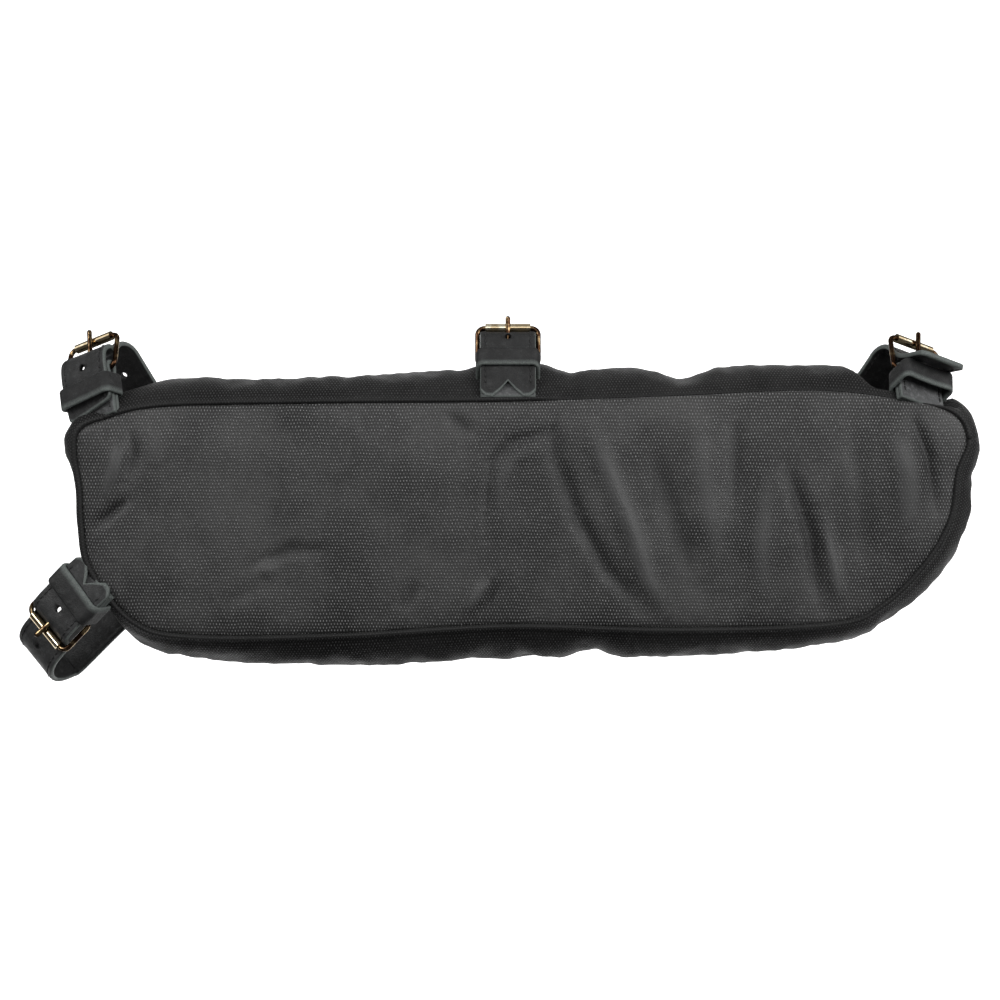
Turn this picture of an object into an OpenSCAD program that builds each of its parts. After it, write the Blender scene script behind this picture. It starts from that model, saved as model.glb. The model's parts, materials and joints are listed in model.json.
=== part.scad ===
// Bicycle frame bag: waxed canvas body, zip in the back face, four leather buckle straps.
// X runs along the bag (+X is the front of the bicycle), Y across it (-Y is the front face),
// Z up. The origin is on the axis of the top tube, in the middle of the middle strap's loop.

/* [Bag] */
// Depth of the bag between its two sewn edges
seam_depth = 56; // [44:1:60]
// How far the front panel bulges past its sewn edge
panel_bulge = 5; // [3:1:6]
// How far the band bulges past the sewn edges at the bottom
bottom_bulge = 16; // [8:1:18]
// How far the band bulges past the sewn edges at the two ends
end_bulge = 9; // [5:1:11]
// Thickness of the lined canvas
canvas_t = 1.2; // [1:0.1:1.6]

/* [Straps] */
// Width of the leather straps
strap_w = 30; // [28:0.5:31]
// Thickness of the leather
leather_t = 2.8; // [2.6:0.1:3]
// Bore radius of the loop that goes round the top tube
tube_r = 12.7; // [12.7]
// Bore radius of the loop that goes round the seat tube
seat_tube_r = 15.9; // [15.9]
// Inside radius of the two slack end loops
slack_loop_r = 11; // [10.5:0.5:11.5]
// Diameter of the punched holes
hole_d = 3.6; // [3:0.1:4]

/* [Buckles] */
// Diameter of the buckle wire
wire_d = 2.8; // [2.2:0.1:3]
// Distance from the heel bar to the roller bar
buckle_l = 22; // [22]
// Outside diameter of the roller
roller_d = 5.2; // [4.8:0.1:5.4]
// Length of the roller
roller_l = 25; // [22:0.5:25.5]
// How far the prong reaches past the roller bar
prong_past = 4.5; // [3:0.5:7]

/* [Zip] */
// Length of the zip's opening
zip_l = 390; // [300:10:400]
// Height of the zip's middle line
zip_z = -54; // [-60:1:-50]
// Width of one zip tape
tape_w = 12; // [10:1:14]
// Gap between the two coils that the slider's bridge runs in
coil_gap = 1.4; // [1.2:0.1:1.6]

/* [Hidden] */
$fn = 48;
STRAPS = ["top_left", "top_middle", "top_right", "lower_left"];
STRAP_PARTS = ["buckle_strap", "long_strap", "keeper", "buckle_frame", "roller", "prong"];

seam_y = seam_depth / 2;
wire_r = wire_d / 2;
roller_r = roller_d / 2;
pin_clearance = 0.1;
eye_r = wire_r + pin_clearance + 1.3;
fold_r = wire_r + pin_clearance + 2.6;
frame_half = strap_w / 2 + 0.5 + wire_r;
corner_r = 4;
// The canvas stays just under the top tube
top_limit = -tube_r - 0.7;

// Sewn edge of the front panel as [x, z], clockwise from the upper rear corner
EDGE = [
    [-224, -39], [-190, -31.5], [-100, -29.5], [0, -28.5], [80, -25.5], [155, -23],
    [205, -25], [238, -32], [252, -47], [247, -66], [243, -92], [229, -115], [206, -137],
    [178, -148.5], [90, -152], [0, -151], [-80, -155], [-172, -156], [-207, -146],
    [-229, -120], [-233, -92], [-235, -60]
];
EDGE_STEPS = 4;
RIGHT_SPLIT = 8;

// Smooth closed curve through the points of EDGE
function wrap(i) = EDGE[(i + len(EDGE)) % len(EDGE)];
function spline(a, b, c, d, t) =
    0.5 * (2 * b + (c - a) * t + (2 * a - 5 * b + 4 * c - d) * t * t
    + (3 * b - a - 3 * c + d) * t * t * t);
outline = [
    for (i = [0 : len(EDGE) - 1], s = [0 : EDGE_STEPS - 1])
        spline(wrap(i - 1), wrap(i), wrap(i + 1), wrap(i + 2), s / EDGE_STEPS)
];
N = len(outline);
function out_at(i) =
    let (t = outline[(i + 1) % N] - outline[(i + N - 1) % N])
    [-t[1], t[0]] / norm(t);
// The band bulges most at the bottom, less at the ends
function bulge_at(i) =
    let (n = out_at(i)[1])
    end_bulge + (bottom_bulge - end_bulge) * n * n;

// Triangles of a grid of points, closed = the last column joins the first
function grid_faces(rows, cols, closed) = [
    for (r = [0 : rows - 2], c = [0 : cols - (closed ? 1 : 2)])
        let (c2 = (c + 1) % cols)
        each [
            [r * cols + c, r * cols + c2, (r + 1) * cols + c2],
            [r * cols + c, (r + 1) * cols + c2, (r + 1) * cols + c]
        ]
];
function flipped(faces) = [for (f = faces) [for (i = [len(f) - 1 : -1 : 0]) f[i]]];
function shifted(faces, by) = [for (f = faces) [f[0] + by, f[1] + by, f[2] + by]];

// ---- canvas body ----

BAND_ROWS = 15;
// The slack end loops press the band down where they lie on it
function turned(v, a) = [v[0] * cos(a) - v[1] * sin(a), v[0] * sin(a) + v[1] * cos(a)];
function into_loop(s, p) =
    let (
        d = p - pos_of(s),
        xz = turned([d[0], d[2]], roll_of(s)),
        xy = turned([xz[0], d[1]], -yaw_of(s))
    )
    [xy[0], xy[1], xz[1]];
function pressed(s, p, inset) =
    let (
        q = into_loop(s, p),
        room = loop_r_of(s) + leather_t + 0.8 + inset,
        out = abs(q[1]) / (26 + inset),
        floor_z = out < 1 ? -room * sqrt(1 - pow(out, 4)) : q[2],
        near = min(max((30 - abs(q[0])) / 9, 0), 1)
    )
    [p[0], p[1], p[2] + near * min(floor_z - q[2], 0)];
// Point of the band: i along the outline, s from -1 at the front edge to 1 at the back edge
function band_point(i, s, inset) =
    let (
        swell = bulge_at(i) * (1 + cos(180 * s)) / 2 - inset,
        p = outline[i % N] + swell * out_at(i % N),
        free = [p[0], s * seam_y, min(p[1], top_limit - inset)]
    )
    free[2] < -70 ? free : pressed("top_left", pressed("top_right", free, inset), inset);

module band(first, last) {
    cols = last - first + 1;
    outer = [
        for (r = [0 : BAND_ROWS - 1], i = [first : last])
            band_point(i, 2 * r / (BAND_ROWS - 1) - 1, 0)
    ];
    inner = [
        for (r = [0 : BAND_ROWS - 1], i = [first : last])
            band_point(i, 2 * r / (BAND_ROWS - 1) - 1, canvas_t)
    ];
    half = len(outer);
    skin = grid_faces(BAND_ROWS, cols, false);
    long_edges = [
        for (c = [0 : cols - 2], r = [0, BAND_ROWS - 1])
            let (a = r * cols + c, b = a + 1)
            each r == 0
                ? [[a, a + half, b + half], [a, b + half, b]]
                : [[a, b + half, a + half], [a, b, b + half]]
    ];
    short_edges = [
        for (r = [0 : BAND_ROWS - 2], c = [0, cols - 1])
            let (a = r * cols + c, b = a + cols)
            each c == 0
                ? [[a, b + half, a + half], [a, b, b + half]]
                : [[a, a + half, b + half], [a, b + half, b]]
    ];
    polyhedron(
        concat(outer, inner),
        flipped(concat(skin, flipped(shifted(skin, half)), long_edges, short_edges)),
        convexity = 8
    );
}

module canvas_band(first, last) {
    difference() {
        band(first, last);
        for (s = STRAPS)
            place(s) {
                buckle_strap_blank(s);
                long_strap_blank(s);
                keeper_loop(s);
            }
    }
}

module gusset_top() {
    color("#303030") canvas_band(0, RIGHT_SPLIT * EDGE_STEPS);
}

module gusset_bottom() {
    color("#303030") canvas_band(RIGHT_SPLIT * EDGE_STEPS, N);
}

PANEL_RINGS = [1, 0.94, 0.85, 0.7, 0.5, 0.25];
SPINE_END = 175;
SPINE_Z = -89;
function spine(p) = [min(max(p[0], -SPINE_END), SPINE_END), SPINE_Z];
function panel_point(i, k, lift) =
    let (c = spine(outline[i]), p = c + k * (outline[i] - c))
    [p[0], -seam_y - lift - panel_bulge * pow(1 - k * k, 0.6), p[1]];

module panel() {
    rings = len(PANEL_RINGS);
    outer = [for (k = PANEL_RINGS, i = [0 : N - 1]) panel_point(i, k, canvas_t)];
    inner = [for (k = PANEL_RINGS, i = [0 : N - 1]) panel_point(i, k, 0)];
    half = len(outer);
    skin = flipped(grid_faces(rings, N, true));
    rim = [
        for (a = [0 : N - 1])
            let (b = (a + 1) % N)
            each [[a, b + half, a + half], [a, b, b + half]]
    ];
    cap = [[for (i = [N - 1 : -1 : 0]) (rings - 1) * N + i]];
    inner_cap = [[for (i = [0 : N - 1]) half + (rings - 1) * N + i]];
    polyhedron(
        concat(outer, inner),
        flipped(concat(skin, flipped(shifted(skin, half)), rim, cap, inner_cap)),
        convexity = 4
    );
}

module front_panel() {
    color("#484848")
    difference() {
        panel();
        for (s = STRAPS)
            place(s) {
                buckle_strap_blank(s);
                long_strap_blank(s);
            }
    }
}

module back_sheet() {
    translate([0, seam_y + canvas_t, 0])
    rotate([90, 0, 0])
    linear_extrude(canvas_t)
    polygon(outline);
}

// The tapes' inner edges stand this far from the zip's middle line
tape_edge = coil_gap / 2 + 0.6;
panel_edge = 6;
module zip_window() {
    translate([0, seam_y, zip_z])
    cube([zip_l + 12, 10, 2 * panel_edge], center = true);
}

module back_half(low_z, high_z) {
    difference() {
        intersection() {
            back_sheet();
            translate([-300, 0, low_z]) cube([600, 60, high_z - low_z]);
        }
        zip_window();
    }
}

module back_panel_upper() {
    color("#484848") back_half(zip_z, 0);
}

module back_panel_lower() {
    color("#484848") back_half(-200, zip_z);
}

// ---- zip ----

tape_t = 0.8;
coil_w = 2;
coil_t = 2.2;
module zip_tape(side) {
    color("#1c1c1c")
    translate([0, seam_y - tape_t / 2, zip_z + side * (tape_edge + tape_w / 2)])
    cube([zip_l + 10, tape_t, tape_w], center = true);
}

module zip_coil(side) {
    color("#151515")
    translate([0, seam_y + coil_t / 2, zip_z + side * (coil_gap / 2 + coil_w / 2)])
    cube([zip_l, coil_t, coil_w], center = true);
}

module zip_tape_upper() zip_tape(1);
module zip_tape_lower() zip_tape(-1);
module zip_coil_upper() zip_coil(1);
module zip_coil_lower() zip_coil(-1);

module zip_stops() {
    color("#b09a6a")
    for (end = [-1, 1])
        translate([end * (zip_l / 2 + 1.5), seam_y + coil_t / 2, zip_z])
        cube([3, coil_t, 2 * coil_w + coil_gap], center = true);
}

slider_l = 11;
slider_w = 9;
plate_t = 1.2;
slider_gap = 0.3;
slider_x = -zip_l / 2 + slider_l / 2 + 0.5;
outer_plate_y = seam_y + coil_t + slider_gap;
inner_plate_y = seam_y - tape_t - slider_gap - plate_t;
lug_y = outer_plate_y + plate_t + 1.6;
pull_pin_r = 0.8;
module zip_slider() {
    color("#b09a6a") {
        for (y = [inner_plate_y, outer_plate_y])
            translate([slider_x, y + plate_t / 2, zip_z])
            cube([slider_l, plate_t, slider_w], center = true);
        // The bridge runs in the gap between the coils
        translate([slider_x, (inner_plate_y + outer_plate_y + plate_t) / 2, zip_z])
        cube([4, outer_plate_y - inner_plate_y, coil_gap - 0.4], center = true);
        // Two lugs and the pin that the pull swings on
        for (side = [-1, 1])
            translate([slider_x, outer_plate_y + plate_t + 1.2, zip_z + side * 3.4])
            cube([3, 2.4, 1.2], center = true);
        translate([slider_x, lug_y, zip_z])
        cylinder(r = pull_pin_r, h = 6, center = true);
    }
}

pull_l = 24;
module zip_pull() {
    color("#b09a6a")
    translate([slider_x, lug_y, zip_z])
    difference() {
        union() {
            cylinder(r = 1.55, h = 5, center = true);
            translate([pull_l / 2, 0, 0]) cube([pull_l, 1.4, 5], center = true);
            translate([pull_l, 0, 0])
            rotate([90, 0, 0])
            cylinder(r = 4, h = 1.4, center = true);
        }
        cylinder(r = pull_pin_r + 0.08, h = 20, center = true);
        translate([pull_l, 0, 0])
        rotate([90, 0, 0])
        cylinder(r = 2, h = 20, center = true);
    }
}

// ---- straps ----
// A strap's own frame: x along the tube, y across the bag, z away from the bag, origin in the
// middle of the loop. Its buckle's frame is [w, n]: w from the heel bar to the roller bar and
// n away from the tube.

// Placement [position, roll about Y, yaw about Z] of each strap
function spot_of(s) =
    s == "top_left" ? [[-224, 0, -10.6], -18.3, -26.7] :
    s == "top_middle" ? [[0, 0, 0], 0, 0] :
    s == "top_right" ? [[220, 0, -12], 17, 26.7] :
    [[-250, 0, -160], -133, 20];
// Buckle [heel bar [y, z], its lean, lean of the leather below it, length of that leather]
function buckle_of(s) =
    s == "top_left" ? [[-16.9, 0.5], 36, 18.3, 27.5] :
    s == "top_middle" ? [[-18.6, -7.7], 16.1, 16.1, 24.5] :
    s == "top_right" ? [[-16.9, 0.5], 36, 27.5, 19] :
    [[-25.4, -22.3], 7.4, 7.4, 19.5];
// Long strap [loop radius, angles where it meets and leaves the tube, sewn end [y, z],
// length of its straight stretch above the heel bar, how straight it leaves the tube]
function wrap_of(s) =
    s == "top_left" ? [slack_loop_r, [18, 125], [22, -20], 1, 4] :
    s == "top_middle" ? [tube_r, [21, 133], [25, -30.5], 10, 4] :
    s == "top_right" ? [slack_loop_r, [18, 125], [22, -14], 1, 4] :
    [seat_tube_r, [11, 172.6], [24, -42], 8, 9];
function pos_of(s) = spot_of(s)[0];
function roll_of(s) = spot_of(s)[1];
function yaw_of(s) = spot_of(s)[2];
function heel_of(s) = buckle_of(s)[0];
function lean_of(s) = buckle_of(s)[1];
function short_lean_of(s) = buckle_of(s)[2];
function short_l_of(s) = buckle_of(s)[3];
function loop_r_of(s) = wrap_of(s)[0];
function contact_of(s) = wrap_of(s)[1];
function end_of(s) = wrap_of(s)[2];
function rise_of(s) = wrap_of(s)[3];
function straight_of(s) = wrap_of(s)[4];

module place(s) {
    translate(pos_of(s))
    rotate([0, roll_of(s), 0])
    rotate([0, 0, yaw_of(s)])
    children();
}

// The buckle's frame: children are drawn with x along the tube, y = -n and z = w
module at_buckle(s) {
    translate([0, heel_of(s)[0], heel_of(s)[1]])
    rotate([-lean_of(s), 0, 0])
    children();
}

// The same at the heel bar, along the leather below the buckle
module at_short_strap(s) {
    translate([0, heel_of(s)[0], heel_of(s)[1]])
    rotate([-short_lean_of(s), 0, 0])
    children();
}

// A flat profile in [n, w] drawn as [-n, w] and made as wide as a strap
module across(width) {
    rotate([90, 0, 90])
    translate([0, 0, -width / 2])
    linear_extrude(width)
    children();
}

module along_x(r, length) {
    rotate([0, 90, 0]) cylinder(r = r, h = length, center = true);
}

// The bent wire ring of a buckle
module wire_ring(r) {
    side = frame_half;
    for (z = [0, buckle_l])
        translate([0, 0, z]) along_x(r, 2 * (side - corner_r));
    for (x = [-side, side])
        translate([x, 0, corner_r]) cylinder(r = r, h = buckle_l - 2 * corner_r);
    for (turn = [0, 180])
        translate([0, 0, buckle_l / 2])
        rotate([0, turn, 0])
        for (up = [0, 1])
            mirror([0, 0, up])
            translate([side - corner_r, 0, buckle_l / 2 - corner_r])
            rotate([90, 0, 0])
            rotate_extrude(angle = 90)
            translate([corner_r, 0]) circle(r = r);
}

module buckle_frame(s) {
    color("#a3834d") place(s) at_buckle(s) wire_ring(wire_r);
}

module roller(s) {
    color("#b8975a")
    place(s)
    at_buckle(s)
    translate([0, 0, buckle_l])
    difference() {
        along_x(roller_r, roller_l);
        along_x(wire_r + pin_clearance, roller_l + 2);
    }
}

prong_rest = asin((roller_r + wire_r + 0.05) / buckle_l);
module prong(s) {
    color("#a3834d")
    place(s)
    at_buckle(s)
    difference() {
        union() {
            along_x(eye_r, 3.6);
            rotate([prong_rest, 0, 0]) cylinder(r = wire_r, h = buckle_l + prong_past);
            rotate([prong_rest, 0, 0])
            translate([0, 0, buckle_l + prong_past]) sphere(r = wire_r);
        }
        along_x(wire_r + pin_clearance, 10);
    }
}

// Short strap: two layers sewn together, folded round the heel bar
module buckle_strap_blank(s) {
    t = 2.6;
    along = short_l_of(s);
    taper = 9;
    at_short_strap(s)
    union() {
        along_x(fold_r, strap_w);
        across(strap_w)
        polygon([
            [-fold_r, 0], [fold_r, 0], [t, -taper], [t, -along], [-t, -along], [-t, -taper]
        ]);
    }
}

module buckle_strap(s) {
    color("#3c3c3a")
    place(s)
    difference() {
        buckle_strap_blank(s);
        at_buckle(s) wire_ring(wire_r + 0.05);
        // Slot for the prong's eye
        at_buckle(s) translate([0, 0, 0.4]) cube([4.8, 12, 9], center = true);
    }
}

flat_n = fold_r + 0.3 + leather_t / 2;
// Point [y, z] of the strap's frame that is w up the short strap and n out from it
function in_strap(s, w, n) =
    let (a = short_lean_of(s))
    heel_of(s) + w * [sin(a), cos(a)] + n * [-cos(a), sin(a)];
function bezier(a, b, c, d, t) =
    pow(1 - t, 3) * a + 3 * pow(1 - t, 2) * t * b + 3 * (1 - t) * t * t * c + t * t * t * d;
// Middle line of the long strap from its tail up to where it meets the tube
function tail_line(s) =
    let (
        r = loop_r_of(s) + leather_t / 2,
        a = contact_of(s)[1],
        leave = r * [cos(a), sin(a)],
        b = leave + straight_of(s) * [-sin(a), cos(a)],
        end = in_strap(s, rise_of(s), flat_n),
        c = in_strap(s, rise_of(s) + 3, flat_n)
    )
    [for (i = [0 : 8]) bezier(end, c, b, leave, i / 8)];
function side_at(line, i) =
    let (t = line[min(i + 1, len(line) - 1)] - line[max(i - 1, 0)])
    [-t[1], t[0]] / norm(t) * leather_t / 2;
module ribbon(line) {
    last = len(line) - 1;
    across(strap_w)
    polygon(concat(
        [for (i = [0 : last]) line[i] + side_at(line, i)],
        [for (i = [last : -1 : 0]) line[i] - side_at(line, i)]
    ));
}

// Ring round the tube between two angles, with a true round bore
module tube_wrap(s) {
    r = loop_r_of(s);
    a = contact_of(s);
    far = 3 * r;
    intersection() {
        difference() {
            along_x(r + leather_t, strap_w);
            along_x(r, strap_w + 2);
        }
        across(strap_w + 2)
        polygon(concat(
            [[0, 0]],
            [for (i = [0 : 4]) let (b = a[0] + (a[1] - a[0]) * i / 4) far * [cos(b), sin(b)]]
        ));
    }
}

tail_l = 23;
module long_strap_blank(s) {
    a = contact_of(s);
    r = loop_r_of(s) + leather_t / 2;
    meet = r * [cos(a[0]), sin(a[0])];
    union() {
        tube_wrap(s);
        ribbon(tail_line(s));
        ribbon([in_strap(s, -tail_l, flat_n), in_strap(s, rise_of(s), flat_n)]);
        ribbon([end_of(s), meet]);
    }
}

module long_strap(s) {
    notch = 7;
    lead = strap_w / 2 - 3;
    color("#343634")
    place(s)
    difference() {
        long_strap_blank(s);
        // Notched tail
        at_short_strap(s)
        translate([0, -flat_n + 10, -tail_l])
        rotate([90, 0, 0])
        linear_extrude(20)
        polygon([[-lead, -1], [0, notch], [lead, -1]]);
        // Hole that the prong stands in, long enough for its swing
        at_buckle(s) across(hole_d) prong_way(rise_of(s) < 5 ? 3 : 7.5);
        // Punched hole above the keeper
        at_short_strap(s)
        translate([0, -flat_n, min(4, rise_of(s) - 1)])
        rotate([90, 0, 0])
        cylinder(d = hole_d, h = 2 * leather_t, center = true);
    }
}

prong_swing = 6;
prong_room = wire_r + 0.5;
module prong_way(near) {
    far = 25;
    low = -tan(prong_rest);
    high = -tan(prong_rest + prong_swing);
    polygon([
        [near * low + prong_room, near], [far * low + prong_room, far],
        [far * high - prong_room, far], [near * high - prong_room, near]
    ]);
}

// Leather loop round both straps, its front leaning over the heel bar
keeper_t = 2.2;
module keeper_loop(s) {
    back_n = -fold_r - 0.3;
    front_n = flat_n + leather_t / 2 + 0.3;
    far = -11.5;
    near = -wire_r - 0.5;
    lift = 6;
    at_short_strap(s)
    difference() {
        across(strap_w + 1 + 2 * keeper_t)
        polygon([
            [-back_n + keeper_t, far], [-back_n + keeper_t, near], [-wire_r - 0.5, near],
            [-front_n, near + lift], [-front_n - keeper_t, near + lift],
            [-front_n - keeper_t, far + lift], [-wire_r - 0.5, far]
        ]);
        across(strap_w + 1) polygon([
            [-back_n, -40], [-back_n, 40], [-front_n, 40], [-front_n, -40]
        ]);
    }
}

module keeper(s) {
    color("#2f312f") place(s) keeper_loop(s);
}

module strap_part(s, part) {
    if (part == "buckle_strap") buckle_strap(s);
    if (part == "long_strap") long_strap(s);
    if (part == "keeper") keeper(s);
    if (part == "buckle_frame") buckle_frame(s);
    if (part == "roller") roller(s);
    if (part == "prong") prong(s);
}

front_panel();
gusset_top();
gusset_bottom();
back_panel_upper();
back_panel_lower();
zip_tape_upper();
zip_tape_lower();
zip_coil_upper();
zip_coil_lower();
zip_stops();
zip_slider();
zip_pull();
for (s = STRAPS, part = STRAP_PARTS)
    strap_part(s, part);
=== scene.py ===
"""Bicycle frame bag: waxed canvas body, zip in the back face, four leather buckle straps.

Lengths are in millimetres until a mesh is made, and MM turns them into metres. The buckles and
their moving pieces are the CAD model's own nodes; the soft pieces are built here.
"""

import json
import math

import bmesh
import bpy
import numpy as np
from mathutils import Matrix, Vector, noise


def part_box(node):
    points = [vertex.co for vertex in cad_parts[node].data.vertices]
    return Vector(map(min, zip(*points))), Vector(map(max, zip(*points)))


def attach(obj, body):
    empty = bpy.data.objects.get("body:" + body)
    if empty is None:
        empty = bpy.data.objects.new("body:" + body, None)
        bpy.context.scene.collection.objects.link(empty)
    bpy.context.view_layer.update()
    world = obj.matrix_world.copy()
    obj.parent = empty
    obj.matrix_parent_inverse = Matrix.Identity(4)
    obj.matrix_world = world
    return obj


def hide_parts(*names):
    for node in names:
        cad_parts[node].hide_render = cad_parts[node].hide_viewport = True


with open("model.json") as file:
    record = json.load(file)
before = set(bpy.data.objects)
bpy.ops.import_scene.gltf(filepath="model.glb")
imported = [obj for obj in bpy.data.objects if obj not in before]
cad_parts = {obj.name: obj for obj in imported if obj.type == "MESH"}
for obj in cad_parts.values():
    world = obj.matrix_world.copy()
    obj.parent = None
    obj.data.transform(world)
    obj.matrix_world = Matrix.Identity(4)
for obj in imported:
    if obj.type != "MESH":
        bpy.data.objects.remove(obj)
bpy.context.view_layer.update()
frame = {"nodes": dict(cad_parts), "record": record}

MM = 0.001
RECORD = frame["record"]
JOINTS = {j["name"]: j for j in RECORD["behaviour"]["joints"]}
MOUNTS = {m["name"]: m for m in RECORD["mounts"]}
OPENINGS = {o["name"]: o for o in RECORD["physics"]["openings"]}

# Half the depth between the two sewn edges, from the band's own box
SEAM_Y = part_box("gusset_bottom")[1][1] / MM

# ---------------------------------------------------------------------------------------------
# The camera stands straight in front of the bag
# ---------------------------------------------------------------------------------------------

VIEW_WIDTH = 547.0
CAMERA_AWAY = 1250.0
SENSOR = 36.0
VIEW_CENTRE = (-4.4, -82.0)


def make_camera():
    data = bpy.data.cameras.new("camera")
    data.sensor_width = SENSOR
    data.lens = SENSOR * CAMERA_AWAY / VIEW_WIDTH
    camera = bpy.data.objects.new("camera", data)
    front = -SEAM_Y - 5
    camera.location = Vector((VIEW_CENTRE[0], front - CAMERA_AWAY, VIEW_CENTRE[1])) * MM
    camera.rotation_euler = (math.radians(90), 0, 0)
    bpy.context.scene.collection.objects.link(camera)
    bpy.context.scene.camera = camera


# ---------------------------------------------------------------------------------------------
# Small helpers
# ---------------------------------------------------------------------------------------------

def link(obj):
    bpy.context.scene.collection.objects.link(obj)
    return obj


def mesh_object(name, points, faces, uvs=None, wear=None):
    """A mesh from points in millimetres, with one UV and one value for each point that marks rubbed
    edges and crests, painted shade in the bottoms of folds and a painted highlight on the band's
    ridge.
    """
    mesh = bpy.data.meshes.new(name)
    mesh.from_pydata([tuple(c * MM for c in p) for p in points], [], faces)
    if uvs is not None:
        layer = mesh.uv_layers.new(name="cloth")
        loops = np.empty(len(mesh.loops), dtype=np.int32)
        mesh.loops.foreach_get("vertex_index", loops)
        layer.data.foreach_set("uv", (np.asarray(uvs, dtype=np.float32)[loops] * MM).ravel())
    if wear is not None:
        attribute = mesh.attributes.new("wear", "FLOAT", "POINT")
        attribute.data.foreach_set("value", np.asarray(wear, dtype=np.float32))
    mesh.polygons.foreach_set("use_smooth", [True] * len(mesh.polygons))
    mesh.update()
    return link(bpy.data.objects.new(name, mesh))


def grid_quads(rows, cols, close_rows=False, close_cols=False):
    """Quads of a grid of rows x cols points, numbered row by row."""
    quads = []
    for r in range(rows if close_rows else rows - 1):
        for c in range(cols if close_cols else cols - 1):
            r2, c2 = (r + 1) % rows, (c + 1) % cols
            quads.append((r * cols + c, r * cols + c2, r2 * cols + c2, r2 * cols + c))
    return quads


def apply_modifiers(obj):
    """Replaces the object's mesh by the mesh that its modifiers make."""
    graph = bpy.context.evaluated_depsgraph_get()
    made = bpy.data.meshes.new_from_object(obj.evaluated_get(graph))
    obj.modifiers.clear()
    obj.data = made


def outward_faces(obj):
    bm = bmesh.new()
    bm.from_mesh(obj.data)
    bmesh.ops.recalc_face_normals(bm, faces=bm.faces)
    bm.to_mesh(obj.data)
    bm.free()


def bell(distance, width):
    return np.exp(-(distance / width) ** 2)


def noise_at(points, scale, seed):
    """Smooth noise from -1 to 1 at points in millimetres."""
    shift = Vector((seed * 17.3, seed * 5.1, seed * 9.7))
    return np.array([noise.noise(Vector(p) / scale + shift) for p in points])


# ---------------------------------------------------------------------------------------------
# Materials
# ---------------------------------------------------------------------------------------------

class Nodes:
    """Builds one material's node tree."""

    def __init__(self, name):
        self.material = bpy.data.materials.new(name)
        self.material.use_nodes = True
        self.tree = self.material.node_tree
        self.shader = self.tree.nodes["Principled BSDF"]

    def add(self, kind, **values):
        node = self.tree.nodes.new("ShaderNode" + kind)
        for key, value in values.items():
            setattr(node, key, value)
        return node

    def join(self, source, target):
        self.tree.links.new(source, target)

    def fill(self, socket, value):
        if hasattr(value, "is_output"):
            self.join(value, socket)
        else:
            socket.default_value = value

    def math(self, operation, a, b=0.0, clamp=False):
        node = self.add("Math", operation=operation, use_clamp=clamp)
        for socket, value in zip(node.inputs, (a, b)):
            self.fill(socket, value)
        return node.outputs[0]

    def mix(self, factor, a, b):
        node = self.add("Mix", data_type="RGBA")
        self.fill(node.inputs[0], factor)
        self.fill(node.inputs[6], a)
        self.fill(node.inputs[7], b)
        return node.outputs[2]

    def noise(self, vector, scale, detail=3.0, roughness=0.5):
        node = self.add("TexNoise")
        self.join(vector, node.inputs["Vector"])
        node.inputs["Scale"].default_value = scale
        node.inputs["Detail"].default_value = detail
        node.inputs["Roughness"].default_value = roughness
        return node.outputs["Fac"]

    def between(self, value, low, high, out_low=0.0, out_high=1.0):
        node = self.add("MapRange", interpolation_type="SMOOTHSTEP")
        self.fill(node.inputs["Value"], value)
        for name, number in zip(("From Min", "From Max", "To Min", "To Max"),
                                (low, high, out_low, out_high)):
            node.inputs[name].default_value = number
        return node.outputs["Result"]

    def bump(self, height, distance, strength=1.0):
        node = self.add("Bump")
        node.inputs["Strength"].default_value = strength
        node.inputs["Distance"].default_value = distance
        self.join(height, node.inputs["Height"])
        return node.outputs["Normal"]

    def place(self):
        return self.add("TexCoord").outputs["Object"]

    def uv(self):
        node = self.add("UVMap", uv_map="cloth")
        split = self.add("SeparateXYZ")
        self.join(node.outputs["UV"], split.inputs[0])
        return split.outputs["X"], split.outputs["Y"], node.outputs["UV"]

    def wear(self):
        return self.add("Attribute", attribute_name="wear").outputs["Fac"]

    def set(self, **values):
        for key, value in values.items():
            self.shader.inputs[key.replace("_", " ")].default_value = value

    def colour(self, source):
        self.join(source, self.shader.inputs["Base Color"])

    def roughness(self, source):
        self.join(source, self.shader.inputs["Roughness"])

    def normal(self, source):
        self.join(source, self.shader.inputs["Normal"])


def grey(value, warm=0.0):
    return (value * (1 + warm), value, value * (1 - warm), 1.0)


THREAD_ALONG = 1.7 * MM
THREAD_ACROSS = 1.83 * MM


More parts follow.
